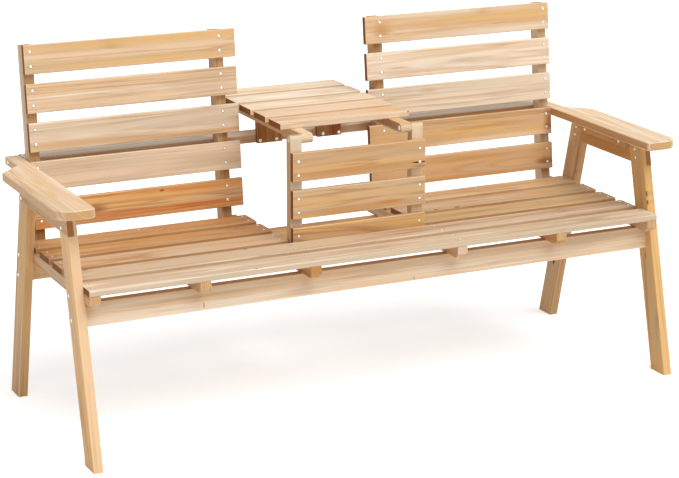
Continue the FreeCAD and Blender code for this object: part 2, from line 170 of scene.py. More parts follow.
# Softwood tones, from freshly sawn sapwood to resinous heartwood; chalk and sunlit are paler than the wood as
# painted light, and the end grain tone is partly painted shade
TONES = {
    "milk": (250, 232, 208),
    "cream": (244, 222, 194),
    "pale": (236, 209, 178),
    "peach": (233, 198, 158),
    "sand": (222, 200, 172),
    "drift": (208, 182, 152),
    "honey": (222, 178, 128),
    "tan": (205, 163, 118),
    "amber": (204, 148, 88),
    "chestnut": (182, 132, 80),
    "russet": (150, 92, 48),
    "knot": (96, 54, 30),
    # The end grain tone is darker than the wood's end grain: partly painted shade of ends turned away from
    # the lamp
    "shaded_endgrain": (140, 92, 52),
    "gold": (230, 184, 120),
    "rose": (238, 206, 174),
    "straw": (212, 178, 134),
    "ember": (206, 124, 62),
    "sunlit": (253, 206, 150),
    "olive": (186, 150, 104),
    "chalk": (255, 246, 232),
}

# For each board: how it lies, its light and deep tones, the tone of its stains, how far it leans to the
# deep tone, how lively its figure is, and the tones of its end grain and of its narrow faces. The end grain's
# tone is partly painted shade, and the narrow faces' tone is painted light and shade of those faces
BOARDS = {
    "seat_slat_front_1": ("flat", "milk", "drift", "sand", 0.1, 1.4, "shaded_endgrain", "sand"),
    "seat_slat_front_2": ("flat", "cream", "drift", "drift", 0.7, 1.4, "shaded_endgrain", "tan"),
    "seat_slat_left_3": ("flat", "drift", "tan", "honey", 0.3, 1.5, "shaded_endgrain", "chestnut"),
    "seat_slat_left_2": ("flat", "tan", "chestnut", "amber", 0.6, 1.3, "shaded_endgrain", "chestnut"),
    "seat_slat_left_1": ("flat", "tan", "chestnut", "amber", 0.5, 1.2, "shaded_endgrain", "chestnut"),
    "seat_slat_right_3": ("flat", "straw", "olive", "tan", 0.4, 1.0, "shaded_endgrain", "chestnut"),
    "seat_slat_right_2": ("flat", "drift", "olive", "drift", 0.1, 1.1, "shaded_endgrain", "chestnut"),
    "seat_slat_right_1": ("flat", "drift", "straw", "tan", 0.6, 1.2, "shaded_endgrain", "chestnut"),
    "back_slat_left_1": ("reclined", "peach", "straw", "honey", -0.1, 0.9, "shaded_endgrain", "gold"),
    "back_slat_left_2": ("reclined", "pale", "honey", "peach", -0.1, 1.0, "shaded_endgrain", "sand"),
    "back_slat_left_3": ("reclined", "cream", "drift", "peach", -0.1, 1.1, "shaded_endgrain", "sand"),
    "back_slat_left_4": ("reclined", "pale", "drift", "peach", -0.1, 0.9, "shaded_endgrain", "sand"),
    "back_slat_left_5": ("reclined", "gold", "ember", "honey", 0.0, 1.3, "shaded_endgrain", "chestnut"),
    "back_slat_right_1": ("reclined", "pale", "honey", "peach", 0.0, 1.0, "shaded_endgrain", "sand"),
    "back_slat_right_2": ("reclined", "milk", "rose", "peach", 0.0, 0.8, "shaded_endgrain", "pale"),
    "back_slat_right_3": ("reclined", "cream", "sand", "peach", -0.1, 0.8, "shaded_endgrain", "pale"),
    "back_slat_right_4": ("reclined", "gold", "honey", "tan", 0.0, 1.2, "shaded_endgrain", "tan"),
    "back_slat_right_5": ("reclined", "honey", "tan", "honey", 0.0, 0.6, "shaded_endgrain", "tan"),
    "panel_slat_1": ("standing", "honey", "tan", "gold", 0.0, 1.1, "russet", "tan"),
    "panel_slat_2": ("standing", "gold", "drift", "honey", 0.1, 1.2, "russet", "tan"),
    "panel_slat_3": ("standing", "gold", "olive", "tan", 0.1, 1.2, "russet", "tan"),
    "table_slat_1": ("flat", "cream", "pale", "peach", -0.1, 0.9, "shaded_endgrain", "peach"),
    "table_slat_2": ("flat", "milk", "cream", "peach", -0.2, 0.9, "shaded_endgrain", "peach"),
    "table_slat_3": ("flat", "milk", "peach", "peach", 0.2, 0.9, "shaded_endgrain", "peach"),
    "table_slat_4": ("flat", "rose", "peach", "honey", -0.2, 0.9, "shaded_endgrain", "peach"),
    "table_slat_5": ("flat", "rose", "peach", "honey", -0.1, 0.9, "shaded_endgrain", "cream"),
    # The front apron's milk and sunlit tones are painted light, lifting the shade under the seat
    "front_apron": ("front_apron", "milk", "sunlit", "peach", -0.15, 0.6, "chestnut", "tan"),
    "rear_apron": ("rear_apron", "peach", "gold", "amber", 0.0, 1.0, "chestnut", "tan"),
    # The rear rail's chalk tones are painted light, paler than the wood, lifting the shade behind the back
    # slats
    "rear_rail": ("flat", "chalk", "chalk", "milk", -0.3, 0.7, "chestnut", "tan"),
    "armrest_l": ("deep", "pale", "peach", "peach", -0.1, 1.0, "honey", "honey"),
    "armrest_r": ("deep", "cream", "peach", "peach", -0.2, 0.9, "honey", "amber"),
    "arm_rail_l": ("edgewise", "honey", "tan", "honey", -0.2, 1.0, "chestnut", "tan"),
    # The right arm rail is deeper in tone than the left: painted shade of its inner face under the armrest
    "arm_rail_r": ("edgewise", "honey", "amber", "amber", 0.0, 1.0, "chestnut", "amber"),
    "arm_cleat_l": ("edgewise", "peach", "honey", "amber", 0.0, 0.9, "tan", "pale"),
    "arm_cleat_r": ("edgewise", "honey", "tan", "amber", 0.0, 0.9, "tan", "pale"),
    # The left front leg is paler than the right: its sunlit tones are painted light on faces the lamp leaves
    # dim
    "front_leg_l": ("front_leg", "sunlit", "sunlit", "gold", -0.1, 0.9, "chestnut", "peach"),
    "front_leg_r": ("front_leg", "gold", "gold", "gold", -0.3, 1.2, "chestnut", "gold"),
    "rear_leg_l": ("rear_leg", "peach", "gold", "amber", -0.1, 1.1, "chestnut", "honey"),
    "rear_leg_r": ("rear_leg", "peach", "gold", "amber", -0.1, 1.2, "chestnut", "tan"),
    "back_post_inner_l": ("post", "straw", "chestnut", "olive", 0.1, 1.2, "chestnut", "straw"),
    "back_post_inner_r": ("post", "straw", "chestnut", "olive", 0.1, 1.2, "chestnut", "straw"),
    "back_post_outer_l": ("post", "straw", "chestnut", "olive", 0.1, 1.2, "chestnut", "milk"),
    "back_post_outer_r": ("post", "sand", "straw", "drift", 0.1, 1.2, "chestnut", "cream"),
    "panel_upright_l": ("stile", "cream", "sand", "peach", 0.2, 1.1, "tan", "straw"),
    "panel_upright_r": ("stile", "pale", "straw", "rose", 0.0, 1.1, "tan", "straw"),
    "table_batten_l": ("deep", "pale", "tan", "gold", 0.0, 1.0, "pale", "straw"),
    "table_batten_r": ("deep", "pale", "tan", "gold", 0.0, 1.0, "pale", "chestnut"),
    "table_support_l": ("post", "chestnut", "russet", "russet", 0.0, 1.0, "russet", "russet"),
    "table_support_r": ("post", "chestnut", "russet", "russet", 0.0, 1.0, "russet", "russet"),
    "bearer_1": ("edgewise", "peach", "tan", "amber", 0.0, 1.0, "honey", "tan"),
    "bearer_2": ("edgewise", "peach", "tan", "amber", 0.0, 1.0, "honey", "tan"),
    "bearer_3": ("edgewise", "honey", "amber", "russet", 0.0, 1.0, "amber", "amber"),
    "bearer_4": ("edgewise", "peach", "tan", "amber", 0.0, 1.0, "pale", "tan"),
    "bearer_5": ("edgewise", "honey", "amber", "amber", 0.2, 1.0, "honey", "amber"),
    "bearer_6": ("edgewise", "peach", "tan", "amber", 0.0, 1.0, "honey", "tan"),
}

# Knots and stains of single boards: along the grain and across it from the board's middle, how far they
# reach both ways, and their tone
MARKS = {
    "seat_slat_front_1": (
        (-0.3604, -0.034, 0.003, 0.0015, "knot"),
        (0.0027, -0.034, 0.003, 0.001, "knot"),
    ),
    "seat_slat_front_2": (
        (-0.318, 0.034, 0.006, 0.002, "knot"),
        (-0.735, 0.034, 0.006, 0.002, "knot"),
        (-0.45, -0.01, 0.09, 0.006, "honey"),
    ),
    "seat_slat_left_1": (
        (0.2, 0.01, 0.12, 0.02, "amber"),
    ),
    "seat_slat_right_2": (
        (-0.1368, -0.0345, 0.008, 0.002, "knot"),
        (-0.2, -0.0345, 0.007, 0.002, "knot"),
        (0.16, 0.0, 0.06, 0.018, "amber"),
    ),
    "seat_slat_right_1": (
        (-0.1, 0.0, 0.15, 0.012, "olive"),
    ),
    "back_slat_left_1": (
        (0.0, 0.026, 0.6, 0.0125, "gold"),
        (-0.05, 0.005, 0.5, 0.007, "rose"),
        (0.05, -0.024, 0.3, 0.009, "gold"),
    ),
    "back_slat_left_2": (
        (-0.16, 0.003, 0.14, 0.004, "milk"),
        (0.05, 0.012, 0.16, 0.0015, "tan"),
        (-0.1, -0.02, 0.2, 0.008, "peach"),
    ),
    "back_slat_left_3": (
        (-0.15, -0.022, 0.24, 0.011, "honey"),
        (0.16, -0.031, 0.22, 0.007, "amber"),
        (0.05, 0.014, 0.35, 0.015, "sand"),
    ),
    "back_slat_left_4": (
        (-0.03, 0.012, 0.12, 0.01, "sand"),
        (0.2, 0.0, 0.1, 0.02, "drift"),
    ),
    "back_slat_left_5": (
        (-0.124, -0.002, 0.035, 0.016, "russet"),
        (0.058, 0.028, 0.008, 0.003, "knot"),
        (0.15, 0.026, 0.2, 0.008, "ember"),
        (-0.05, -0.026, 0.12, 0.007, "ember"),
    ),
    "back_slat_right_1": (
        (-0.235, -0.002, 0.03, 0.024, "amber"),
        (0.12, 0.01, 0.32, 0.013, "gold"),
        (0.18, -0.028, 0.26, 0.011, "cream"),
        (-0.12, 0.031, 0.25, 0.006, "cream"),
    ),
    "back_slat_right_2": (
        (-0.19, -0.01, 0.035, 0.0022, "amber"),
        (0.1, 0.018, 0.25, 0.006, "peach"),
    ),
    "back_slat_right_3": (
        (-0.1, 0.02, 0.035, 0.006, "straw"),
    ),
    "back_slat_right_4": (
        (0.275, 0.0, 0.018, 0.05, "russet"),
        (0.1, -0.03, 0.28, 0.009, "pale"),
        (0.08, 0.004, 0.16, 0.006, "amber"),
    ),
    "back_slat_right_5": (
        (0.26, -0.016, 0.03, 0.012, "russet"),
        (0.05, -0.032, 0.3, 0.007, "amber"),
        (0.02, 0.02, 0.12, 0.008, "amber"),
    ),
    "panel_slat_1": (
        (0.0, -0.022, 0.22, 0.009, "amber"),
        (0.168, -0.022, 0.022, 0.0022, "knot"),
        (0.168, -0.032, 0.022, 0.0015, "russet"),
    ),
    "panel_slat_2": (
        (0.085, -0.0195, 0.035, 0.007, "ember"),
        (0.0, -0.024, 0.2, 0.01, "amber"),
        (-0.1, 0.0, 0.1, 0.01, "gold"),
    ),
    "panel_slat_3": (
        (0.0, -0.02, 0.22, 0.008, "amber"),
    ),
    "table_slat_1": (
        (0.126, 0.0057, 0.01, 0.002, "russet"),
    ),
    "table_slat_4": (
        (0.02, 0.0, 0.08, 0.006, "rose"),
    ),
    "table_slat_5": (
        (0.1795, -0.0355, 0.003, 0.0025, "knot"),
        (0.015, 0.0157, 0.006, 0.002, "russet"),
        (0.13, 0.008, 0.09, 0.016, "gold"),
    ),
    "front_apron": (
        # The first mark darkens the apron's upper edge as a painted shadow of the seat slats
        (0.0, 0.033, 4.0, 0.006, "amber"),
        (-0.4802, -0.0177, 0.002, 0.008, "russet"),
        (0.0877, -0.0245, 0.0015, 0.006, "russet"),
        (-0.5, 0.004, 0.2, 0.006, "honey"),
    ),
    "front_leg_r": (
        (0.1696, -0.0305, 0.008, 0.004, "knot"),
        (0.1471, -0.0305, 0.006, 0.004, "knot"),
        (0.005, 0.004, 0.008, 0.004, "russet"),
    ),
    "rear_leg_r": (
        (0.1645, -0.0305, 0.008, 0.004, "russet"),
        (-0.1385, -0.0038, 0.007, 0.004, "knot"),
    ),
    "armrest_l": (
        # The first mark is a painted highlight along the armrest's inner edge
        (-0.05, 0.038, 0.16, 0.009, "milk"),
        (0.0, 0.0, 0.05, 0.01, "gold"),
        (-0.12, -0.004, 0.05, 0.01, "gold"),
    ),
    "armrest_r": (
        (-0.02, -0.03, 0.2, 0.008, "gold"),
    ),
}


def linear(tone):
    """The colour of a named tone, from 0 to 255 a channel, as linear light with full alpha."""
    share = np.asarray(TONES[tone], float) / 255.0
    low = share / 12.92
    high = ((share + 0.055) / 1.055) ** 2.4
    return (*np.where(share <= 0.04045, low, high).tolist(), 1.0)


class Field:
    """A value that varies over a surface. Arithmetic on it adds the Math nodes that work it out."""

    def __init__(self, shader, socket):
        self.shader = shader
        self.socket = socket

    def __add__(self, other):
        return self.shader.math("ADD", self, other)

    __radd__ = __add__

    def __sub__(self, other):
        return self.shader.math("SUBTRACT", self, other)

    def __rsub__(self, other):
        return self.shader.math("SUBTRACT", other, self)

    def __mul__(self, other):
        return self.shader.math("MULTIPLY", self, other)

    __rmul__ = __mul__

    def __truediv__(self, other):
        return self.shader.math("DIVIDE", self, other)

    def __rtruediv__(self, other):
        return self.shader.math("DIVIDE", other, self)

    def __pow__(self, other):
        return self.shader.math("POWER", self, other)

    def __abs__(self):
        return self.shader.math("ABSOLUTE", self)

    def fraction(self):
        return self.shader.math("FRACT", self)

    def least(self, other):
        return self.shader.math("MINIMUM", self, other)

    def most(self, other):
        return self.shader.math("MAXIMUM", self, other)

    def rise(self, low, high):
        """0 below low and 1 above high, with a soft step between them."""
        made = self.shader.node(
            "ShaderNodeMapRange",
            {"interpolation_type": "SMOOTHSTEP"},
            {"Value": self, "From Min": low, "From Max": high},
        )
        return Field(self.shader, made.outputs["Result"])


class Shader:
    """The nodes of one material, or of the room."""

    def __init__(self, owner):
        self.owner = owner
        owner.use_nodes = True
        self.tree = owner.node_tree
        self.tree.nodes.clear()

    def node(self, kind, settings, sockets):
        """Add a node: its settings first, then the value or the link of each socket."""
        made = self.tree.nodes.new(kind)
        for name, value in settings.items():
            setattr(made, name, value)
        for key, value in sockets.items():
            if isinstance(value, Field):
                value = value.socket
            if isinstance(value, bpy.types.NodeSocket):
                self.tree.links.new(value, made.inputs[key])
            else:
                made.inputs[key].default_value = value
        return made

    def math(self, operation, *values):
        """One Math node."""
        made = self.node("ShaderNodeMath", {"operation": operation}, dict(enumerate(values)))
        return Field(self, made.outputs[0])

    def mix(self, first, second, share):
        """The first colour, with the given share of the second."""
        made = self.node("ShaderNodeMix", {"data_type": "RGBA"}, {0: share, 6: first, 7: second})
        return made.outputs[2]

    def point(self, x, y, z):
        """A vector from three values."""
        return self.node("ShaderNodeCombineXYZ", {}, {0: x, 1: y, 2: z}).outputs[0]

    def noise(self, place, detail=1.0, roughness=0.5):
        """Smooth noise of about one wave per unit, from 0 to 1."""
        made = self.node(
            "ShaderNodeTexNoise",
            {"noise_dimensions": "3D"},
            {"Vector": place, "Scale": 1.0, "Detail": detail, "Roughness": roughness},
        )
        return Field(self, made.outputs["Fac"])

    def surface(self, finish, output="ShaderNodeOutputMaterial"):
        """Send a finish to the output, and give back the material or the room."""
        self.node(output, {}, {"Surface": finish.outputs[0]})
        return self.owner


def board_axes(lie):
    """Three columns: along the grain, across the face and through the board."""
    along, across = (Vector(way).normalized() for way in LIES[lie])
    return Matrix((along, across, along.cross(across))).transposed()


def board_extent(node, axes):
    """The middle of a board and its half sizes, measured along its own axes."""
    mesh = NODES[node].data
    places = np.empty(len(mesh.vertices) * 3)
    mesh.vertices.foreach_get("co", places)
    local = places.reshape(-1, 3) @ np.array(axes)
    low, high = local.min(axis=0), local.max(axis=0)
    return axes @ Vector((low + high) / 2), (high - low) / 2


def board_space(shader, node, axes):
    """Texture coordinates, the place along, across and through a board, and the board's half sizes.

    Places are measured from the board's middle.
    """
    middle, half = board_extent(node, axes)
    coordinates = shader.node("ShaderNodeTexCoord", {}, {})
    local = shader.node(
        "ShaderNodeMapping",
        {"vector_type": "TEXTURE"},
        {"Vector": coordinates.outputs["Object"], "Location": middle, "Rotation": axes.to_euler()},
    )
    split = shader.node("ShaderNodeSeparateXYZ", {}, {0: local.outputs[0]})
    return coordinates, [Field(shader, output) for output in split.outputs], half


def bend_round_knots(shader, node, along, across, bent):
    """The grain's sideways place, pushed aside by the knots, and how far every mark of the board is away."""
    marks = []
    for place, side, length, width, tone in MARKS.get(node, ()):
        away = shader.math("SQRT", ((along - place) / length) ** 2 + ((bent - side) / width) ** 2)
        marks.append((away, tone))
        if tone == "knot":
            near = 1.0 - away.rise(*SPANS["knot swell"])
            swell = near * (across - side).rise(-width, width)
            bent = bent + (swell - 0.5) * near * (2.0 * width)
    return bent, marks


def heart_distance(shader, draw, half, along, bent, through):
    """How far a place is from the tree's heart line, which runs beside the board and tilts a little."""
    heart_across = float(draw.uniform(-0.8, 0.8) * half[1])
    heart_depth = float(draw.uniform(*HEART_DEPTHS)) * (1.0 if draw.random() < 0.5 else -1.0)
    tilt_across = float(draw.uniform(-HEART_TILT_ACROSS, HEART_TILT_ACROSS))
    tilt_depth = float(draw.uniform(-HEART_TILT_DEPTH, HEART_TILT_DEPTH))
    aside = bent - heart_across - along * tilt_across
    below = through - heart_depth - along * tilt_depth
    return shader.math("SQRT", aside * aside + below * below)


def facing(shader, coordinates, way, span):
    """1 on the faces that look along the given way, either to or fro."""
    dot = shader.node(
        "ShaderNodeVectorMath", {"operation": "DOT_PRODUCT"}, {0: coordinates.outputs["Normal"], 1: way}
    )
    return abs(Field(shader, dot.outputs["Value"])).rise(*SPANS[span])


def timber(node):
    """The wood of one board.

    Growth rings are circles about a heart line. The distance from that line, bent by a slow wander,
    carries the rings, the colour bands, the streaks and the thin dark veins, and all of them are
    stretched along the grain. Marks lie over that, then end grain, darker partly as painted shade, the
    narrow faces in their own painted light and shade, and the edges, paler as painted highlight and wear.
    """
    settings = bpy.context.scene.bench_wood
    lie, light, deep, stain, lean, vigour, end_grain_and_shade_tone, side_shading_tone = BOARDS[node]
    axes = board_axes(lie)
    draw = np.random.default_rng(sum(ord(letter) * (7 + place) for place, letter in enumerate(node)))
    shift = draw.uniform(0.0, SHIFT_REACH, 4)
    shader = Shader(bpy.data.materials.new(f"wood_{node}"))
    coordinates, (along, across, through), half = board_space(shader, node, axes)

    def fibrous(name, start, sideways, depth_start=0.0):
        """A noise in long thin threads, drawn out along the grain."""
        length, width, detail, roughness = WAVES[name]
        depth = through * width + depth_start if depth_start else through * width
        return shader.noise(shader.point(along * length + start, sideways * width, depth), detail, roughness)

    def ringed(name, start, layer):
        """A noise that follows the growth rings."""
        length, width, detail, roughness = WAVES[name]
        return shader.noise(shader.point(reach * width, along * length + start, layer), detail, roughness)

    wander = fibrous("wander", shift[0], across)
    bent = across + (wander - 0.5) * settings.wander
    bent, marks = bend_round_knots(shader, node, along, across, bent)
    reach = heart_distance(shader, draw, half, along, bent, through)

    band = ringed("band", shift[1], shift[2])
    tint = ringed("tint", shift[3], shift[0])
    veins = ringed("veins", shift[3], shift[1])
    streak = ringed("streak", shift[2], shift[0])
    fibre = fibrous("fibre", shift[0], bent)
    cloud = fibrous("cloud", shift[2], bent, shift[1])
    dash = fibrous("dash", shift[1], bent)
    ring = (reach / settings.ring_spacing + (band - 0.5) * 3.0).fraction()
    late = ring.rise(*SPANS["latewood grows"]) * (1.0 - ring.rise(*SPANS["latewood stops"]))
    figure = (
        (band.rise(*SPANS["band"]) - 0.5) * settings.band_strength
        + (streak - 0.5) * settings.streak_strength
        + (late - 0.25) * settings.ring_strength
        + (fibre - 0.5) * settings.fibre_strength
    )
    mask = (0.5 + lean + figure * vigour).most(0.0).least(1.0)
    colour = shader.mix(linear(light), linear(deep), mask)
    stained = (tint + (streak - 0.5) * 0.3).rise(*SPANS["stain"])
    colour = shader.mix(colour, linear(stain), stained * settings.stain_share)
    cooled = (cloud + (streak - 0.5) * 0.5).rise(*SPANS["grey patch"])
    colour = shader.mix(colour, linear("drift"), cooled * settings.grey_share)
    vein = (1.0 - abs(veins - 0.5) * VEIN_SHARPNESS).most(0.0) * tint.rise(*SPANS["veined part"])
    dashes = dash.rise(*SPANS["dash"]) * settings.dash_share
    dark = (vein * settings.vein_share).most(dashes) * vigour
    colour = shader.mix(colour, linear("russet"), dark.least(1.0))
    for away, tone in marks:
        frayed = away + (streak - 0.5) * settings.raggedness + (fibre - 0.5) * 0.5
        is_knot = tone == "knot"
        cover = 1.0 - frayed.rise(*SPANS["knot" if is_knot else "mark"])
        colour = shader.mix(colour, linear(tone), cover * (1.0 if is_knot else settings.mark_share))

    # End faces take a darker tone: real end grain, deepened by painted shade on the ends turned away from the
    # lamp
    end = facing(shader, coordinates, axes.col[0], "end face")
    end_share = late * 0.3 + (fibre - 0.5) * 0.6 + (streak - 0.5) * 0.6 + 0.08
    end_grain_and_shade_colour = shader.mix(linear(end_grain_and_shade_tone), linear("russet"), end_share.most(0.0).least(0.8))
    colour = shader.mix(colour, end_grain_and_shade_colour, end)
    # Narrow faces take a tone of their own: painted light and shade on the long side faces, mostly darker in
    # the gaps between slats and on faces turned away from the lamp
    narrow = facing(shader, coordinates, axes.col[1], "narrow face")
    side_shading_colour = shader.mix(linear(side_shading_tone), linear(deep), mask * 0.4)
    side_shading_colour = shader.mix(side_shading_colour, linear("russet"), dark.least(1.0) * 0.6)
    inward = (float(half[2]) - through).rise(SIDE_SHADING_START, settings.side_shading_fade)
    colour = shader.mix(colour, side_shading_colour, narrow * inward * settings.side_shading_share)

    # A board's edge is where the second smallest of the three distances to its faces is small
    gaps = [float(size) - abs(way) for size, way in zip(half, (along, across, through))]
    least = gaps[0].least(gaps[1]).least(gaps[2])
    greatest = gaps[0].most(gaps[1]).most(gaps[2])
    second = gaps[0] + gaps[1] + gaps[2] - least - greatest
    edge = 1.0 - second.rise(EDGE_START, settings.edge_width)
    # Edges lighten towards milk: a painted highlight on the rounded arrises, with some pale wear
    wear_and_highlight = edge * (0.5 + streak * 0.8) * settings.edge_wear_and_highlight * (1.0 - end)
    colour = shader.mix(colour, linear("milk"), wear_and_highlight)

    height = fibre * 0.5 + streak * 0.6 + late * 0.4 - dark * 0.4
    bump = shader.node("ShaderNodeBump", {}, {"Strength": 0.35, "Distance": 0.0006, "Height": height})
    principled = shader.node(
        "ShaderNodeBsdfPrincipled",
        {},
        {
            "Base Color": colour,
            "Roughness": 0.54 + mask * 0.1 + (fibre - 0.5) * 0.25 + end * 0.2,
            "Normal": bump.outputs[0],
            "Specular IOR Level": 0.16,
        },
    )
    return shader.surface(principled)


def plated_steel(name, colour):
    """Zinc-plated steel: a pale bright skin with cloudy patches, fine scuffs and a dark ring of painted shade
    in the countersink.
    """
    shader = Shader(bpy.data.materials.new(name))
    place = shader.node("ShaderNodeTexCoord", {}, {}).outputs["Object"]
    split = shader.node("ShaderNodeSeparateXYZ", {}, {0: place})
    x, y, z = (Field(shader, output) for output in split.outputs)
    cloud = shader.noise(shader.point(x * PLATE_CLOUD, y * PLATE_CLOUD, z * PLATE_CLOUD), 3.0)
    scuff = shader.noise(shader.point(x * PLATE_SCUFF, y * PLATE_SCUFF, z * PLATE_SCUFF), 2.0)
    dull = tuple(PLATE_DULL * channel for channel in colour)
    skin = shader.mix((*colour, 1.0), (*dull, 1.0), cloud.rise(0.35, 0.75))
    # The dark ring round each head is painted shade in its countersink
    sink = shader.node("ShaderNodeAttribute", {"attribute_name": "head_shade_ring"}, {})
    ring = Field(shader, sink.outputs["Fac"])
    skin = shader.mix(skin, SINK_SHADE_COLOUR, ring.rise(0.4, 0.8))
    bump = shader.node("ShaderNodeBump", {}, {"Strength": 0.2, "Distance": 0.0002, "Height": scuff})
    principled = shader.node(
        "ShaderNodeBsdfPrincipled",
        {},
        {
            "Base Color": skin,
            "Metallic": 0.6,
            "Roughness": 0.16 + scuff * 0.2 + ring * 0.5,
            "Normal": bump.outputs[0],
        },
    )
    return shader.surface(principled)


def dress(node, material):
    """Give a frame node its material."""
    slots = NODES[node].data.materials
    slots.clear()
    slots.append(material)


def dress_boards(*starts):
    """Give every board whose name has one of the given starts its own wood."""
    for node in BOARDS:
        if node.startswith(starts):
            dress(node, timber(node))


def shortened_post(node, cut):
    """A back post that ends level with the top slat, in place of the longer board of the frame.

    The shape is the frame's board, whose points near the upper end slide down along the board: a point
    moves by the cut times a step that is one within a few millimetres of the end and nothing below.
    """
    source = NODES[node].data
    mesh = source.copy()
    mesh.name = f"{node}_trimmed"
    working = bmesh.new()
    working.from_mesh(mesh)
    bmesh.ops.remove_doubles(working, verts=working.verts, dist=MERGE_REACH)
    working.to_mesh(mesh)
    working.free()
    places = np.empty(len(mesh.vertices) * 3)
    mesh.vertices.foreach_get("co", places)
    places = places.reshape(-1, 3)
    up = np.array(board_axes("post").col[0])
    climb = places @ up
    places[climb > climb.max() - POST_TIP] -= cut * up
    mesh.vertices.foreach_set("co", places.ravel())
    mesh.update()
    mesh.materials.clear()
    mesh.materials.append(timber(node))
    piece = bpy.data.objects.new(f"{node}_trimmed", mesh)
    bpy.context.scene.collection.objects.link(piece)
    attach(piece, "frame")
    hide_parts(node)


def head_shape(radius, dome, recess):
    """A screw head about +Z, as rings of points that a last point closes in the middle.

    The rings are the edge of the countersink's painted shade, the rim's foot, the rim, the shoulder, the
    cross outline and the cross floor. The cross outline is a circle whose radius steps between the arms'
    ends, at 15 degrees either side of each arm, and the inner corners, at 45 degrees, so the 12 points
    stand 30 degrees apart.
    """
    count = HEAD_POINTS
    turn = np.radians(15.0 + 30.0 * np.arange(count))
    arm = radius * 0.5
    inner = arm * math.sin(math.radians(15.0)) * math.sqrt(2.0)
    cross = np.where(np.arange(count) % 3 == 1, inner, arm)
    rings = [
        (radius * SINK_WIDTH, SINK_HEIGHT),
        (radius, SINK_HEIGHT * 1.5),
        (radius, 0.35 * dome),
        (radius * 0.86, 0.8 * dome),
        (cross, dome),
        (cross * 0.72, dome - recess),
    ]
    corners = [
        np.column_stack([size * np.cos(turn), size * np.sin(turn), np.full(count, height)])
        for size, height in rings
    ]
    corners = np.vstack([*corners, [0.0, 0.0, dome - 1.25 * recess]])
    start = np.arange(count)
    after = (start + 1) % count
    level = count * np.arange(len(rings) - 1)[:, None]
    walls = np.stack([start + level, after + level, after + level + count, start + level + count], axis=-1)
    top = count * (len(rings) - 1)
    floor = np.column_stack([start + top, after + top, np.full(count, top + count)])
    return corners, walls.reshape(-1, 4), floor


def add_heads(name, places, normals, radius, material, body, slot):
    """Screw heads standing on the given places: one head turned to each normal and spun at random.

    A float attribute is 1 on the two rings of the countersink's painted shade and 0 on the head.
    """
    settings = bpy.context.scene.bench_screws
    corners, walls, floor = head_shape(radius, settings.dome, settings.recess)
    places = np.asarray(places, float)
    up = np.asarray(normals, float)
    up /= np.linalg.norm(up, axis=1, keepdims=True)
    guide = np.where(np.abs(up[:, :1]) < 0.9, [[1.0, 0.0, 0.0]], [[0.0, 1.0, 0.0]])
    side = np.cross(guide, up)
    side /= np.linalg.norm(side, axis=1, keepdims=True)
    other = np.cross(up, side)
    spin = np.random.default_rng(len(places) * 13 + 5).uniform(0.0, math.pi / 2, (len(places), 1))
    first = side * np.cos(spin) + other * np.sin(spin)
    second = other * np.cos(spin) - side * np.sin(spin)
    turned = np.einsum("vk,nkd->nvd", corners, np.stack([first, second, up], axis=1))
    every = (turned + places[:, None, :]).reshape(-1, 3)
    offsets = (np.arange(len(places)) * len(corners))[:, None, None]
    quads = (walls[None] + offsets).reshape(-1, 4)
    tips = (floor[None] + offsets).reshape(-1, 3)
    mesh = bpy.data.meshes.new(name)
    mesh.from_pydata(every.tolist(), [], quads.tolist() + tips.tolist())
    ring = np.zeros((len(places), len(corners)), np.float32)
    ring[:, : 2 * HEAD_POINTS] = 1.0
    mesh.attributes.new("head_shade_ring", "FLOAT", "POINT").data.foreach_set("value", ring.ravel())
    mesh.polygons.foreach_set("use_smooth", np.ones(len(mesh.polygons), bool))
    mesh.set_sharp_from_angle(angle=math.radians(35))
    mesh.materials.append(material)
    piece = bpy.data.objects.new(name, mesh)
    bpy.context.scene.collection.objects.link(piece)
    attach(piece, body)
    return piece


def crossings(xs, rows):
    """Every x of xs on both sides of the middle, met with every row's (y, z)."""
    both = np.concatenate([-np.asarray(xs), np.asarray(xs)])
    rows = np.asarray(rows)
    spread = np.repeat(both, len(rows))
    return np.column_stack([spread, np.tile(rows, (len(both), 1))])


def screw_rows(first, pitch, count, pair):
    """Where the screws of a row of slats stand: each slat's middle, moved by the two places of a pair."""
    middles = first + pitch * np.arange(count) + math.copysign(SLAT_WIDTH / 2, pitch)
    return np.concatenate([middles + place for place in pair])


def at_level(rows, level):
    """Rows as (y, z) pairs, all at one height."""
    return np.column_stack([rows, np.full(len(rows), level)])


def seat_screws():
    """Two screws in each crossing of a slat and an end bearer, and one at the rear of the middle ones."""
    rows = screw_rows(SEAT_FRONT, SEAT_PITCH, SEAT_ROWS, SEAT_SCREWS)
    ends = crossings(BEARER_CENTRES[::2], at_level(rows, SEAT_TOP))
    rear = crossings(BEARER_CENTRES[1:2], at_level(rows[-1:], SEAT_TOP))
    places = np.concatenate([ends, rear])
    return places, np.tile([0.0, 0.0, 1.0], (len(places), 1))


def back_screws():
    """Two screws in each crossing of a back slat and a post, on the leaning face."""
    climb = screw_rows(BACK_FIRST, BACK_PITCH, BACK_SLATS, BACK_SCREWS)
    rows = np.column_stack(
        [BACK_FOOT.y + climb * math.sin(RECLINE), BACK_FOOT.z + climb * math.cos(RECLINE)]
    )
    places = crossings(POST_CENTRES, rows)
    return places, np.tile([0.0, -math.cos(RECLINE), math.sin(RECLINE)], (len(places), 1))


def panel_screws():
    """Two screws in each crossing of a panel slat and an upright."""
    rows = screw_rows(PANEL_FIRST, PANEL_PITCH, PANEL_SLATS, PANEL_SCREWS)
    places = crossings((UPRIGHT_CENTRE,), at_level(rows, PANEL_FACE)[:, ::-1])
    return places, np.tile([0.0, -1.0, 0.0], (len(places), 1))


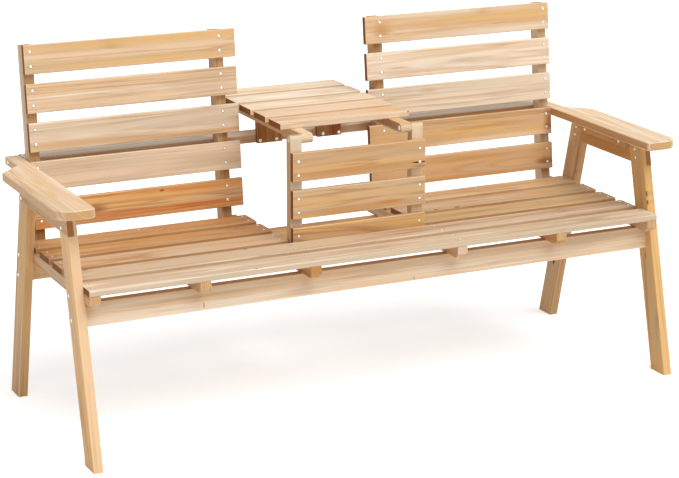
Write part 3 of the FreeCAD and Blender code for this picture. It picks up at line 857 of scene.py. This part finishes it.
def table_screws():
    """Two screws up through a batten into each table slat."""
    rows = screw_rows(TABLE_REAR, -TABLE_PITCH, TABLE_SLATS, TABLE_SCREWS)
    places = crossings((BATTEN_CENTRE,), at_level(rows, TABLE_UNDERSIDE))
    return places, np.tile([0.0, 0.0, -1.0], (len(places), 1))


def drawn_screws():
    """Head places and directions of the frame's own screws, read from their solids.

    Each screw is one run of equal length in the mesh. Its axis is the main direction of its corners,
    and its head is at the end where the corners stand furthest from the axis.
    """
    mesh = NODES["frame_screws"].data
    corners = np.empty(len(mesh.loops), np.int32)
    mesh.loops.foreach_get("vertex_index", corners)
    places = np.empty(len(mesh.vertices) * 3)
    mesh.vertices.foreach_get("co", places)
    screws = places.reshape(-1, 3)[corners].reshape(-1, SCREW_CORNERS, 3)
    middle = screws.mean(axis=1, keepdims=True)
    away = screws - middle
    axis = np.linalg.svd(away, full_matrices=False)[2][:, 0]
    climb = np.einsum("nvd,nd->nv", away, axis)
    aside = np.linalg.norm(away - climb[..., None] * axis[:, None], axis=2)
    ahead = np.sign(np.take_along_axis(climb, aside.argmax(axis=1)[:, None], axis=1))
    axis = axis * ahead
    climb = climb * ahead
    centre = middle[:, 0] + axis * climb.max(axis=1, keepdims=True)
    return centre, axis


class WoodSettings(bpy.types.PropertyGroup):
    """Sizes and strengths of the wood's figure."""

    post_trim: bpy.props.FloatProperty(
        name="Post trim", description="How much the posts' upper ends lose", default=0.006, unit="LENGTH"
    )
    ring_spacing: bpy.props.FloatProperty(
        name="Ring spacing", description="Width of one year's growth", default=0.0052, unit="LENGTH"
    )
    band_strength: bpy.props.FloatProperty(
        name="Band strength", description="Contrast of the broad colour bands", default=0.6
    )
    ring_strength: bpy.props.FloatProperty(
        name="Ring strength", description="How dark latewood is", default=0.45, subtype="FACTOR"
    )
    fibre_strength: bpy.props.FloatProperty(
        name="Fibre strength", description="How much single fibres show", default=0.7, subtype="FACTOR"
    )
    wander: bpy.props.FloatProperty(
        name="Wander", description="How far the grain drifts sideways", default=0.016, unit="LENGTH"
    )
    streak_strength: bpy.props.FloatProperty(
        name="Streak strength", description="Contrast of the fine streaks", default=1.9
    )
    stain_share: bpy.props.FloatProperty(
        name="Stains", description="How strong the warm stains are", default=0.55, subtype="FACTOR"
    )
    grey_share: bpy.props.FloatProperty(
        name="Grey patches", description="How strong the cool patches are", default=0.35, subtype="FACTOR"
    )
    vein_share: bpy.props.FloatProperty(
        name="Veins", description="How dark the thin veins are", default=0.4, subtype="FACTOR"
    )
    dash_share: bpy.props.FloatProperty(
        name="Resin dashes", description="How dark short resin lines are", default=0.35, subtype="FACTOR"
    )
    raggedness: bpy.props.FloatProperty(
        name="Ragged marks", description="How far streaks fray the marks", default=1.8
    )
    mark_share: bpy.props.FloatProperty(
        name="Marks", description="How strong knots and stains are", default=0.75, subtype="FACTOR"
    )
    # Painted light and shade of the narrow faces: how far they take their own tone, and where that tone is
    # full
    side_shading_share: bpy.props.FloatProperty(
        name="Edge tint",
        description="How far narrow faces take their own tone",
        default=0.85,
        subtype="FACTOR",
    )
    side_shading_fade: bpy.props.FloatProperty(
        name="Edge fade", description="Where a narrow face has its full tone", default=0.005, unit="LENGTH"
    )
    # The rubbed edge is lightened as painted highlight with some pale wear: its width and how pale it is
    edge_width: bpy.props.FloatProperty(
        name="Edge width", description="Width of the rubbed edge", default=0.0022, unit="LENGTH"
    )
    edge_wear_and_highlight: bpy.props.FloatProperty(
        name="Edge wear", description="How pale rubbed edges are", default=0.2, subtype="FACTOR"
    )


class ScrewSettings(bpy.types.PropertyGroup):
    """Sizes of the screw heads."""

    head_radius: bpy.props.FloatProperty(
        name="Head radius", description="Radius of a slat's screw head", default=0.0037, unit="LENGTH"
    )
    frame_head_radius: bpy.props.FloatProperty(
        name="Frame head radius", description="Radius of a frame screw's head", default=0.0048, unit="LENGTH"
    )
    dome: bpy.props.FloatProperty(
        name="Dome", description="Height of the head over the wood", default=0.0006, unit="LENGTH"
    )
    recess: bpy.props.FloatProperty(
        name="Recess", description="Depth of the cross recess", default=0.0003, unit="LENGTH"
    )
    plate_colour: bpy.props.FloatVectorProperty(
        name="Plating",
        description="Colour of the plating",
        default=(1.0, 0.98, 0.92),
        subtype="COLOR",
        size=3,
    )


class StudioSettings(bpy.types.PropertyGroup):
    """Lamp, room light and camera of the studio."""

    key_strength: bpy.props.FloatProperty(
        name="Main lamp", description="Strength of the broad lamp in front and above", default=2.52
    )
    sky_strength: bpy.props.FloatProperty(
        name="Room light", description="Strength of the light from all around", default=0.36
    )
    lens: bpy.props.FloatProperty(
        name="Lens", description="Focal length in millimetres", default=112.33, unit="CAMERA"
    )


class BENCH_OT_side_frames(bpy.types.Operator):
    """Dress the legs, arm rails, cleats and armrests"""

    bl_idname = "bench.side_frames"
    bl_label = "Side frames"

    def execute(self, context):
        dress_boards("front_leg", "rear_leg", "arm_rail", "arm_cleat", "armrest")
        return {"FINISHED"}


class BENCH_OT_seat(bpy.types.Operator):
    """Dress the aprons, the bearers and the seat slats"""

    bl_idname = "bench.seat"
    bl_label = "Seat"

    def execute(self, context):
        dress_boards("front_apron", "rear_apron", "bearer", "seat_slat")
        return {"FINISHED"}


class BENCH_OT_backs(bpy.types.Operator):
    """Dress the posts, the back slats, the rear rail and the table supports"""

    bl_idname = "bench.backs"
    bl_label = "Backs"

    def execute(self, context):
        dress_boards("back_slat", "rear_rail", "table_support")
        for node in [name for name in BOARDS if name.startswith("back_post")]:
            shortened_post(node, context.scene.bench_wood.post_trim)
        return {"FINISHED"}


class BENCH_OT_panel(bpy.types.Operator):
    """Dress the centre panel"""

    bl_idname = "bench.panel"
    bl_label = "Centre panel"

    def execute(self, context):
        dress_boards("panel_")
        return {"FINISHED"}


class BENCH_OT_table(bpy.types.Operator):
    """Dress the table"""

    bl_idname = "bench.table"
    bl_label = "Table"

    def execute(self, context):
        dress_boards("table_slat", "table_batten")
        return {"FINISHED"}


class BENCH_OT_screws(bpy.types.Operator):
    """Set domed heads with a cross recess on the slats' screws and the frame's own"""

    bl_idname = "bench.screws"
    bl_label = "Screws"

    def execute(self, context):
        settings = context.scene.bench_screws
        steel = plated_steel("screw_plating", tuple(settings.plate_colour))
        places, normals = (np.concatenate(pair) for pair in zip(seat_screws(), back_screws()))
        small = settings.head_radius
        large = settings.frame_head_radius
        add_heads("slat_screws", places, normals, small, steel, "frame", "screw_steel")
        add_heads("panel_screws", *panel_screws(), small, steel, "panel", "screw_steel")
        add_heads("table_screws", *table_screws(), small, steel, "table", "screw_steel")
        heads = add_heads("frame_screw_heads", *drawn_screws(), large, steel, "frame", "screw_steel")
        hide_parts("frame_screws")
        return {"FINISHED"}


class BENCH_OT_bolts(bpy.types.Operator):
    """Plate the pivot bolts and their nuts"""

    bl_idname = "bench.bolts"
    bl_label = "Pivot bolts"

    def execute(self, context):
        colour = context.scene.bench_screws.plate_colour
        steel = plated_steel("bolt_plating", tuple(BOLT_SHADE * part for part in colour))
        for node in NODES:
            if node.startswith("pivot_"):
                dress(node, steel)
        return {"FINISHED"}


class BENCH_OT_stage(bpy.types.Operator):
    """Build the floor, the lamp, the room light and the camera"""

    bl_idname = "bench.stage"
    bl_label = "Stage"

    def execute(self, context):
        settings = context.scene.bench_studio
        x, y = np.meshgrid((-FLOOR_REACH, FLOOR_REACH), (-FLOOR_REACH, FLOOR_REACH))
        corners = np.stack([x.ravel(), y.ravel(), np.zeros(4)], axis=1)
        mesh = bpy.data.meshes.new("floor")
        mesh.from_pydata(corners.tolist(), [], [(0, 1, 3, 2)])
        mesh.materials.append(studio_floor())
        floor = bpy.data.objects.new("floor", mesh)
        context.scene.collection.objects.link(floor)
        add_sun("key_lamp", LAMP_DIRECTION, settings.key_strength, LAMP_SOFTNESS)
        light_room(settings.sky_strength)
        add_camera(settings.lens)
        context.scene.view_settings.view_transform = "Standard"
        return {"FINISHED"}


def seen_directly(shader):
    """1 for what the camera, a reflection or a clear surface looks at, and 0 for the light that is given."""
    path = shader.node("ShaderNodeLightPath", {}, {})
    rays = [Field(shader, path.outputs[f"Is {kind} Ray"]) for kind in ("Camera", "Glossy", "Transmission")]
    return rays[0].most(rays[1]).most(rays[2])


def studio_floor():
    """A pale matt floor that shows white where nothing shades it, and keeps a faint shadow."""
    shader = Shader(bpy.data.materials.new("studio_floor"))
    glow = shader.mix((0.0, 0.0, 0.0, 1.0), (FLOOR_GLOW, FLOOR_GLOW, FLOOR_GLOW, 1.0), seen_directly(shader))
    principled = shader.node(
        "ShaderNodeBsdfPrincipled",
        {},
        {
            "Base Color": (FLOOR_TONE, FLOOR_TONE, FLOOR_TONE, 1.0),
            "Roughness": 0.95,
            "Specular IOR Level": 0.0,
            "Emission Color": glow,
            "Emission Strength": 1.0,
        },
    )
    return shader.surface(principled)


def light_room(strength):
    """A white room: plain light on the object, and plain white where it is seen."""
    world = bpy.data.worlds.new("studio_room")
    bpy.context.scene.world = world
    shader = Shader(world)
    level = seen_directly(shader) * (1.0 - strength) + strength
    white = shader.node("ShaderNodeBackground", {}, {"Color": (1.0, 1.0, 1.0, 1.0), "Strength": level})
    shader.surface(white, "ShaderNodeOutputWorld")


def add_sun(name, direction, strength, softness):
    """A broad soft lamp that shines along a direction. Softness is its width in degrees."""
    lamp = bpy.data.lights.new(name, "SUN")
    lamp.energy = strength
    lamp.angle = math.radians(softness)
    thing = bpy.data.objects.new(name, lamp)
    thing.rotation_euler = Vector(direction).to_track_quat("-Z", "Y").to_euler()
    bpy.context.scene.collection.objects.link(thing)


def add_camera(lens):
    """The camera, where the bench was photographed from."""
    camera = bpy.data.cameras.new("camera")
    camera.lens = lens
    camera.sensor_width = FILM_WIDTH
    camera.shift_x, camera.shift_y = CAMERA_SHIFT
    camera.clip_end = FAR_LIMIT
    thing = bpy.data.objects.new("camera", camera)
    thing.location = CAMERA_PLACE
    aim = Euler((math.pi / 2 - CAMERA_PITCH, 0.0, -CAMERA_YAW)).to_matrix()
    thing.rotation_euler = (aim @ Matrix.Rotation(CAMERA_ROLL, 3, "Z")).to_euler()
    bpy.context.scene.collection.objects.link(thing)
    bpy.context.scene.camera = thing


class BENCH_PT_panel(bpy.types.Panel):
    """Lists the bench's pieces and settings"""

    bl_idname = "BENCH_PT_panel"
    bl_label = "Companion seat bench"
    bl_space_type = "VIEW_3D"
    bl_region_type = "UI"
    bl_category = "Bench"

    def draw(self, context):
        layout = self.layout
        for name in STEPS:
            layout.operator(f"bench.{name}")
        for group in ("bench_wood", "bench_screws", "bench_studio"):
            box = layout.box()
            values = getattr(context.scene, group)
            for name in values.__annotations__:
                box.prop(values, name)


STEPS = ("side_frames", "seat", "backs", "panel", "table", "screws", "bolts", "stage")
CLASSES = (
    WoodSettings,
    ScrewSettings,
    StudioSettings,
    BENCH_OT_side_frames,
    BENCH_OT_seat,
    BENCH_OT_backs,
    BENCH_OT_panel,
    BENCH_OT_table,
    BENCH_OT_screws,
    BENCH_OT_bolts,
    BENCH_OT_stage,
    BENCH_PT_panel,
)


def register():
    for made in CLASSES:
        bpy.utils.register_class(made)
    bpy.types.Scene.bench_wood = bpy.props.PointerProperty(type=WoodSettings)
    bpy.types.Scene.bench_screws = bpy.props.PointerProperty(type=ScrewSettings)
    bpy.types.Scene.bench_studio = bpy.props.PointerProperty(type=StudioSettings)


def unregister():
    del bpy.types.Scene.bench_studio
    del bpy.types.Scene.bench_screws
    del bpy.types.Scene.bench_wood
    for made in reversed(CLASSES):
        bpy.utils.unregister_class(made)


def main():
    """Register the add-on and build everything in order."""
    register()
    for name in STEPS:
        getattr(bpy.ops.bench, name)()


if __name__ == "__main__":
    main()
